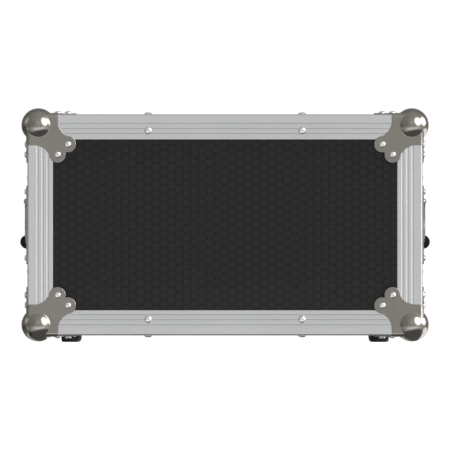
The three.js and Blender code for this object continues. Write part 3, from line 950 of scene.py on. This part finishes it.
def pressed(name, m, place, mat, body, replaces, thickness, cuts=(), keep=None, skirt=None):
    """Turns a skin into a closed pressed sheet. cuts are s values that get an edge; keep cuts one side off."""
    obj = raw(name, m, mat)
    bm = bmesh.new()
    bm.from_mesh(obj.data)
    for s in cuts:
        bmesh.ops.bisect_plane(bm, geom=bm.verts[:] + bm.edges[:] + bm.faces[:], plane_co=(0, s * MM, 0), plane_no=(0, 1, 0), dist=1e-7)
    if keep:
        s, side = keep
        bmesh.ops.bisect_plane(
            bm, geom=bm.verts[:] + bm.edges[:] + bm.faces[:], plane_co=(0, s * MM, 0), plane_no=(0, -side, 0), dist=1e-7,
            clear_outer=True,
        )
    if skirt:
        lowest = skirt[0]
        for v in bm.verts:
            if v.co.x / MM < skirt[1] and v.co.x / MM > lowest - 0.01 and skirt[2](v.co.y / MM, v.co.z / MM):
                v.co.x = skirt[3] * MM
    # outwards is +x
    for f in bm.faces:
        f.normal_update()
    top = max(bm.faces, key=lambda f: f.calc_center_median().x)
    bmesh.ops.recalc_face_normals(bm, faces=bm.faces)
    flat = [f for f in bm.faces if abs(f.normal.x) > 0.99]
    if flat and sum(f.normal.x * f.calc_area() for f in flat) < 0:
        bmesh.ops.reverse_faces(bm, faces=bm.faces[:])
    bm.to_mesh(obj.data)
    bm.free()
    so = obj.modifiers.new("sheet", "SOLIDIFY")
    so.thickness = thickness * MM
    so.offset = -1.0
    so.use_even_offset = True
    settle(obj)
    bevelled(obj, 0.3, 2, 55)
    me = obj.data
    for v in me.vertices:
        v.co = Vector(place(*(v.co / MM))) * MM
    me.update()
    bm = bmesh.new()
    bm.from_mesh(me)
    bmesh.ops.recalc_face_normals(bm, faces=bm.faces)
    bm.to_mesh(me)
    bm.free()
    return finish_piece(obj, body, replaces, 35)


HUB_S, ECC = 28.0, 4.0


def latch(end, sy, side, sx):
    name = f"latch_{end}_{side}"
    place = lambda x, s, z: (sx * (X1 + x), sy * (YJ - s), ZC + z)
    rings = dish(-46, 66, 51.7, -34.5, 55, 37, 1.8, -8.4, 5, 7)

    def lowered(s, z):
        return not (25.6 < s or -35.6 < s < -25.4)

    pressed(
        name + "_dish", sheet_from(rings), place, ZINC, "case_body", [name + "_tray"], 1.1,
        cuts=(25.2, 25.8), keep=(0.25, 1), skirt=(-1.5, 0.6, lambda s, z: s < 25.5, 0.3),
    )
    pressed(
        name + "_keeper_dish", sheet_from(rings), place, ZINC, f"{end}_lid", [name + "_keeper"], 1.1,
        cuts=(-25.2, -25.8, -35.3, -35.9), keep=(-0.25, -1),
        skirt=(-1.5, 0.6, lambda s, z: s > -25.5 or s < -35.6, 0.3),
    )
    # the catch that the hook's lip pulls on
    catch = prism([(-9.6, -14.2), (-8.9, -14.2), (-7.85, -12.6), (-7.85, -10.6), (-8.6, -9.8), (-9.6, -9.8)], -14, 14)
    piece(
        name + "_catch", M().join(catch, place), ZINC, f"{end}_lid", bevel=0.3, smooth=35,
    )
    rv = rivet(3.9, 2.2)
    fixed, lidded = M(), M()
    for z in (-43.5, 43.5):
        for s in (60.3, 31.5):
            fixed.join(rv, lambda u, v, h: place(1.8 + h, s + u, z + v))
        lidded.join(rv, lambda u, v, h: place(1.8 + h, -40.3 + u, z + v))
    for s in (10.0,):
        for z in (-43.5, 43.5):
            fixed.join(rv, lambda u, v, h: place(1.8 + h, s + u, z + v))
            lidded.join(rv, lambda u, v, h: place(1.8 + h, -s - 2 + u, z + v))
    side_hardware.objects.link(piece(name + "_rivets", fixed, RIVET, "case_body", smooth=40))
    side_hardware.objects.link(piece(name + "_keeper_rivets", lidded, RIVET, f"{end}_lid", smooth=40))

    # hook plate: flat with two raised ribs, a cross slot for the eccentric and a turned-down lip
    plate = raw(name + "_hook_plate", prism(
        [(-17.5, -10)] + [(-15.5, -14)] + arc(40, -10, 4, 270, 360, 5) + arc(40, 10, 4, 0, 90, 5) + [(-15.5, 14), (-17.5, 10)],
        -5.2, -3.4,
    ), ZINC)
    slot_at = HUB_S + ECC
    slot = prism(rrect(slot_at - 6.4, slot_at + 6.4, -10, 10, 5.5, 6), -6, -2)
    boolean(plate, raw("tool", slot, ZINC), "DIFFERENCE")
    lip_m = prism([(-17.5, -10.6), (-15.9, -10.6), (-15.9, 10.6), (-17.5, 10.6)], -7.35, -3.9)
    boolean(plate, raw("tool", lip_m, ZINC), "UNION")
    for z in (-9.5, 9.5):
        rib = prism(rrect(-11, 20, z - 1.5, z + 1.5, 1.4, 4), -3.6, -2.7)
        boolean(plate, raw("tool", rib, ZINC), "UNION")
    bevelled(plate, 0.3, 2, 40)
    for v in plate.data.vertices:
        s, z, x = v.co / MM
        v.co = Vector(place(x, s, z)) * MM
    fix_normals(plate)
    finish_piece(plate, name + "_hook", [name + "_hook"], 35)

    # hub: boss with a chamfered rim, eccentric below, two ears and the wing's pin
    boss = lathe([(0, -3.0), (7.4, -3.0), (8.4, -2.4), (8.5, -0.7), (8.0, -0.15), (7.2, 0.1), (6.0, 0.1), (5.6, -0.25), (0, -0.25)], 40)
    hub = M()
    hub.join(boss, lambda u, v, h: place(h, HUB_S + u, v))
    ecc = lathe([(0, -9.0), (4.6, -9.0), (5.0, -8.6), (5.0, -2.8), (0, -2.8)], 28)
    hub.join(ecc, lambda u, v, h: place(h, slot_at + u, v))
    for z in (4.55, -6.45):
        ear = prism([(HUB_S - 1.8, -0.5), (HUB_S - 1.8, 2.2)] + arc(HUB_S, 2.2, 1.8, 180, 0, 8)[1:] + [(HUB_S + 1.8, -0.5)], z, z + 1.9)
        hub.join(ear, lambda s, x, z2: place(x, s, z2))
    pin = lathe([(0, -7.1), (0.8, -7.1), (1.0, -6.9), (1.0, 6.9), (0.8, 7.1), (0, 7.1)], 14)
    hub.join(pin, lambda u, v, h: place(2.2 + u, HUB_S + v, h))
    side_hardware.objects.link(piece(name + "_hub_boss", hub, ZINC, name + "_hub", [name + "_hub"], smooth=35))

    # wing: two lobes of bent sheet with a rolled knuckle
    half = [(HUB_S + 0.2, 4.1), (HUB_S + 2.6, 4.1), (HUB_S + 2.2, 10), (HUB_S + 2.4, 17)]
    half += arc(HUB_S + 9.6, 15.8, 7.2, 172, 38, 9)
    half += [(HUB_S + 17.6, 16.2), (HUB_S + 19.2, 11.5), (HUB_S + 18.9, 7.0), (HUB_S + 17.6, 3.0)]
    outline = half + [(HUB_S + 17.0, 0)] + [(s, -z) for s, z in half[::-1]]
    # the wing plate and its knuckle take the lighter zinc: painted highlight that sets them off from the hub
    wing = raw(name + "_wing_plate", prism(outline, 2.25, 3.9), WING_ZINC_PAINTED_HIGHLIGHT)
    boolean(wing, raw("tool", prism(rrect(HUB_S + 4.8, HUB_S + 14.6, -14.5, 14.5, 4.2, 6), 3.35, 5), WING_ZINC_PAINTED_HIGHLIGHT), "DIFFERENCE")
    knuckle = ring_lathe([(1.15, -4.1), (1.75, -4.1), (1.75, 4.1), (1.15, 4.1)], 20)
    bevelled(wing, 0.45, 3, 40)
    for v in wing.data.vertices:
        s, z, x = v.co / MM
        v.co = Vector(place(x, s, z)) * MM
    fix_normals(wing)
    side_hardware.objects.link(finish_piece(wing, name + "_wing", [name + "_wing"], 35))
    k = M().join(knuckle, lambda u, v, h: place(2.2 + u, HUB_S + v, h))
    side_hardware.objects.link(piece(name + "_wing_knuckle", k, WING_ZINC_PAINTED_HIGHLIGHT, name + "_wing", smooth=35))


def fix_normals(obj):
    bm = bmesh.new()
    bm.from_mesh(obj.data)
    bmesh.ops.recalc_face_normals(bm, faces=bm.faces)
    bm.to_mesh(obj.data)
    bm.free()


for end, sy in ENDS:
    for side, sx in SIDES:
        latch(end, sy, side, sx)

# ================================================================ handles
UP, DOWN, OUT, ARM_Y, ROD = 30.8, 22.5, 2.3, 52.0, 3.0


def handle(side, sx):
    name = f"handle_{side}"
    place = lambda x, y, z: (sx * (X1 + x), y, ZC + z)
    rings = dish(-86, 86, 51.7, -73.6, 73.6, 36.6, 0.0, -14.0, 6, 9)
    rings[0] = (rings[0][0], -1.55)
    pressed(name + "_dish", sheet_from(rings), place, ZINC, "case_body", [name + "_tray"], 1.1)
    for s in (-1, 1):
        lug = raw(name + f"_lug_{'front' if s < 0 else 'rear'}", prism(
            [(-14.2, UP - 4.2), (OUT - 1.0, UP - 4.35)] + arc(OUT, UP, 4.4, -90, 90, 10)[1:] + [(-8.0, UP + 4.3), (-10.0, UP + 6.0), (-14.2, UP + 6.0)],
            56.5, 64.5,
        ), ZINC)
        bore = lathe([(0, 50), (3.35, 50), (3.35, 70), (0, 70)], 24)
        boolean(lug, raw("tool", M().join(bore, lambda u, v, h: (OUT + u, UP + v, h)), ZINC), "DIFFERENCE")
        bevelled(lug, 0.4, 2, 45)
        for v in lug.data.vertices:
            x, z, y = v.co / MM
            v.co = Vector(place(x, s * y, z)) * MM
        fix_normals(lug)
        finish_piece(lug, "case_body", [], 35)
    # bail
    path = [(OUT, -64.2, UP), (OUT, -56.9, UP)]
    path += [(OUT, y, z) for y, z in arc(-56.9, UP - 4.9, 4.9, 90, 0, 8)[1:]]
    path += [(OUT, y, z) for y, z in arc(-ARM_Y + 6, -DOWN + 6, 6, 180, 270, 8)]
    path += [(OUT, -y, z) for _, y, z in path[::-1]]
    bail = tube(path, ROD, 20)
    # the bail rod takes the darker zinc: painted shade along the rod
    piece(name + "_bail_rod", M().join(bail, place), ROD_ZINC_PAINTED_SHADE, name, [name + "_bail"], smooth=35)
    # the pivots' peened ends
    caps = M()
    cap = lathe([(0, -0.6), (3.3, -0.6), (3.6, -0.1)] + [(3.6 * cos(radians(t)), 1.7 * sin(radians(t))) for t in (8, 20, 34, 48, 62, 76)] + [(0, 1.7)], 24)
    for s in (-1, 1):
        caps.join(cap, lambda u, v, h: place(OUT + u, s * (64.7 + h), UP + v))
    side_hardware.objects.link(piece(name + "_pivot_ends", caps, ZINC, name, smooth=40))
    # grip: a moulded sleeve with shallow rings
    prof = [(3.2, -43.4), (7.4, -43.4), (8.5, -42.9), (9.1, -41.8)]
    y = -38.0
    while y < 38.1:
        prof += [(9.2, y - 1.5), (9.2, y + 0.6), (8.85, y + 0.95), (8.85, y + 1.45)]
        y += 3.8
    prof = [p for p in prof if p[1] < 41]
    prof += [(9.2, 41.0), (9.1, 41.8), (8.5, 42.9), (7.4, 43.4), (3.2, 43.4)]
    grip = ring_lathe(prof, 36)
    piece(
        name + "_grip_sleeve", M().join(grip, lambda u, v, h: place(OUT + u, h, -DOWN + v)), GRIP, name,
        [name + "_grip"], smooth=28,
    )
    rv = rivet(3.9, 2.2)
    m = M()
    for y in (-78, -27, 27, 78):
        for z in (-44.6, 44.6):
            m.join(rv, lambda u, v, h: place(h, y + u, z + v))
    side_hardware.objects.link(piece(name + "_rivets", m, RIVET, "case_body", smooth=40))


for side, sx in SIDES:
    handle(side, sx)

# ================================================================ feet
for end, sy in ENDS:
    for side, sx in SIDES:
        prof = [(0, 2.2), (5.0, 2.2), (5.4, 1.8), (5.6, 0.3), (6.2, 0.0), (10.4, 0.0), (11.4, 0.3), (12.05, 0.95), (12.35, 1.9), (12.9, 9.6), (12.9, 10.5), (0, 10.5)]
        m = M().join(lathe(prof, 48), lambda u, v, h: (sx * FOOT_X + u, sy * 128 + v, h))
        rubber_foot = piece(f"foot_{end}_{side}_rubber", m, RUBBER, "case_body", [f"foot_{end}_{side}"], smooth=35)
        mirror_like.objects.link(rubber_foot)
        screw = lathe([(0, 2.0), (4.6, 2.0), (4.6, 1.9), (4.2, 1.2), (2.6, 0.9), (1.2, 0.85), (1.0, 1.5), (0, 1.55)], 28)
        m = M().join(screw, lambda u, v, h: (sx * FOOT_X + u, sy * 128 + v, h))
        piece(f"foot_{end}_{side}_screw", m, RIVET, "case_body", smooth=35)

# ================================================================ rack rails
bolt = rivet(6.0, 2.9)
m = M()
for side, sx in SIDES:
    for z in (37.0, 83.5, H - 83.5, H - 37.0):
        m.join(bolt, lambda u, v, h: (sx * (X1 - T - 0.1 + h), -YJ + 32 + u, Z0 + z + v))
piece("rail_bolts", m, ZINC, "case_body", smooth=40)
for side, sx in SIDES:
    node = f"rack_rail_{side}"
    paint(node, POWDER)

# ================================================================ floor, lights and surroundings
bpy.ops.mesh.primitive_plane_add(size=1.3, location=(0, 0, 0))
floor = bpy.context.object
floor.name = "floor"
fl = bpy.data.materials.new("floor_pale")
fl.use_nodes = True
fl.node_tree.nodes["Principled BSDF"].inputs["Base Color"].default_value = (0.86, 0.86, 0.86, 1)
fl.node_tree.nodes["Principled BSDF"].inputs["Roughness"].default_value = 0.9
fl.node_tree.nodes["Principled BSDF"].inputs["Specular IOR Level"].default_value = 0.1
fl.node_tree.nodes["Principled BSDF"].inputs["Emission Color"].default_value = (1, 1, 1, 1)
fl.node_tree.nodes["Principled BSDF"].inputs["Emission Strength"].default_value = 0.95
floor.data.materials.append(fl)
floor.visible_glossy = False
floor.visible_shadow = False


def area(name, direction, distance, size, watts, color=(1, 1, 1)):
    d = Vector(direction).normalized()
    l = bpy.data.lights.new(name, "AREA")
    l.shape = "ELLIPSE"
    l.size, l.size_y = size
    l.energy = watts
    l.color = color
    o = bpy.data.objects.new(name, l)
    o.location = Vector((0, 0, 0.15)) + d * distance
    o.rotation_euler = (-d).to_track_quat("-Z", "Y").to_euler()
    bpy.context.scene.collection.objects.link(o)
    return o


def direction(az, el):
    """az to the right of the front, el above the horizon, in degrees."""
    return (sin(radians(az)) * cos(radians(el)), -cos(radians(az)) * cos(radians(el)), sin(radians(el)))


# a round softbox on the right in front
FAR = 15.6
area("softbox_front", direction(46, 23), FAR, (12.2, 14.4), 0.55 * pi * 12.2 * 14.4 * pi / 4)
# the upright edging gets more of it, so its grooves show
edge_box = area("softbox_upright", direction(46, 23), FAR - 0.4, (12.0, 14.2), 0.18 * pi * 12.0 * 14.2 * pi / 4)
edge_box.light_linking.receiver_collection = upright
round_box = area("softbox_round", direction(62, 3), FAR, (7.8, 6.6), 2.4 * pi * 7.8 * 6.6 * pi / 4)
round_box.light_linking.receiver_collection = upright
# the wings, pivots and rivets of the latches and handles get a highlight from the front only
wing_box = area("softbox_wings", direction(46, 23), FAR - 0.6, (11.8, 14.0), 2.2 * pi * 11.8 * 14.0 * pi / 4)
wing_box.light_linking.receiver_collection = side_hardware
# these four only light the corners, the rivets and the feet: the hot softbox, a second highlight beside it, the bright crescent
# low behind on the right, and a band of light on the ground in front
hot_box = area("softbox_hot", direction(46, 23), FAR - 0.2, (11.8, 14.0), 3.9 * pi * 11.8 * 14.0 * pi / 4)
band_box = area("band_low", direction(6, -24), FAR, (25.0, 4.4), 0.5 * pi * 25.0 * 4.4)
band_box.data.shape = "RECTANGLE"
band_box.rotation_euler.rotate_axis("Z", radians(8))
side_box = area("softbox_side", direction(92, 19), FAR, (13.6, 12.0), 3.0 * pi * 13.6 * 12.0 * pi / 4)
low_box = area("softbox_low", direction(130, -26), FAR, (20.0, 9.0), 1.7 * pi * 20.0 * 9.0 * pi / 4)
for o in (hot_box, side_box, low_box, band_box):
    o.light_linking.receiver_collection = mirror_like

world = bpy.data.worlds.new("studio")
bpy.context.scene.world = world
world.use_nodes = True
wt = world.node_tree
wt.nodes.clear()
out = wt.nodes.new("ShaderNodeOutputWorld")
mix = wt.nodes.new("ShaderNodeMixShader")
seen = wt.nodes.new("ShaderNodeBackground")
seen.inputs["Color"].default_value = (1, 1, 1, 1)
lit = wt.nodes.new("ShaderNodeBackground")
path = wt.nodes.new("ShaderNodeLightPath")
co = wt.nodes.new("ShaderNodeTexCoord")
sep = wt.nodes.new("ShaderNodeSeparateXYZ")
wt.links.new(co.outputs["Generated"], sep.inputs["Vector"])


def wmath(op, *args, clamp=False):
    n = wt.nodes.new("ShaderNodeMath")
    n.operation = op
    n.use_clamp = clamp
    for i, v in enumerate(args):
        if isinstance(v, (int, float)):
            n.inputs[i].default_value = v
        else:
            wt.links.new(v, n.inputs[i])
    return n.outputs["Value"]


def smooth(v, lo, hi, a=0.0, b=1.0):
    n = wt.nodes.new("ShaderNodeMapRange")
    n.interpolation_type = "SMOOTHSTEP"
    n.inputs["From Min"].default_value = lo
    n.inputs["From Max"].default_value = hi
    n.inputs["To Min"].default_value = a
    n.inputs["To Max"].default_value = b
    wt.links.new(v, n.inputs["Value"])
    return n.outputs["Result"]


def window(v, lo, hi, soft):
    return wmath("MULTIPLY", smooth(v, lo - soft, lo + soft), smooth(v, hi - soft, hi + soft, 1.0, 0.0))


def patch(az0, az1, el0, el1, soft, value):
    """A soft-edged bright or dark patch of the surroundings, in degrees."""
    both_ = wmath("MULTIPLY", window(az, az0, az1, soft), window(el, el0, el1, soft))
    return wmath("MULTIPLY", both_, value)


deg = 180 / pi
# azimuth to the right of the front, and elevation, in degrees
az = wmath("MULTIPLY", wmath("ARCTAN2", sep.outputs["X"], wmath("MULTIPLY", sep.outputs["Y"], -1.0)), deg)
el = wmath("MULTIPLY", wmath("ARCSINE", sep.outputs["Z"]), deg)
# walls and ceiling: dim behind, brighter towards the right; the ground is dark close to the object
# the ground's edge rises to the right
low = wmath("SUBTRACT", el, smooth(az, -70, 70, -9.0, 9.0))
upper = wmath("MULTIPLY", smooth(low, -40, -30, 0.0, 1.0), smooth(el, 20, 90, 0.64, 0.60))
upper = wmath("MULTIPLY", upper, smooth(sep.outputs["Y"], -0.1, 0.75, 1.0, 0.52))
upper = wmath("MULTIPLY", upper, smooth(sep.outputs["X"], -1.0, 0.2, 0.62, 1.0))
upper = wmath("ADD", upper, smooth(low, -40, -30, 0.17, 0.0))
# the ground further off: a light band in front and the brightest part low behind on the right
# the band bends upwards and narrows to the right
bend = smooth(az, 5, 70)
band = wmath("MULTIPLY", smooth(wmath("ADD", low, wmath("MULTIPLY", bend, -4.0)), -37, -29), smooth(wmath("ADD", el, wmath("MULTIPLY", bend, -5.0)), -18, -8, 1.0, 0.0))
band = wmath("MULTIPLY", band, wmath("MULTIPLY", smooth(az, -95, -10, 0.12, 0.38), smooth(az, 60, 84, 1.0, 0.0)))
light = band
light = wmath("ADD", light, patch(-92, -76, -22, -12, 4, 0.35))
light = wmath("ADD", light, patch(-11, 8, 5, 28, 5, 0.22))
light = wmath("ADD", light, patch(-172, -110, -44, -34, 4, 0.8))
# a weak fill at the left, and the dark between it and the front
light = wmath("ADD", light, patch(-112, -82, 8, 34, 7, 0.55))
dark = wmath("SUBTRACT", 1.0, patch(-80, -62, -40, 12, 8, 0.32))
dark = wmath("MULTIPLY", dark, wmath("SUBTRACT", 1.0, patch(-150, -92, -30, -5, 7, 0.75)))
dark = wmath("MULTIPLY", dark, wmath("SUBTRACT", 1.0, patch(-125, -66, -56, -30, 6, 0.72)))
dark = wmath("MULTIPLY", dark, wmath("SUBTRACT", 1.0, patch(-40, -33, -10, 22, 4, 0.3)))
total = wmath("ADD", wmath("MULTIPLY", upper, dark), light)
lit.inputs["Color"].default_value = (1.0, 1.0, 1.0, 1)
wt.links.new(total, lit.inputs["Strength"])
wt.links.new(path.outputs["Is Camera Ray"], mix.inputs["Fac"])
wt.links.new(lit.outputs["Background"], mix.inputs[1])
wt.links.new(seen.outputs["Background"], mix.inputs[2])
wt.links.new(mix.outputs["Shader"], out.inputs["Surface"])
bpy.context.scene.view_settings.view_transform = "Standard"
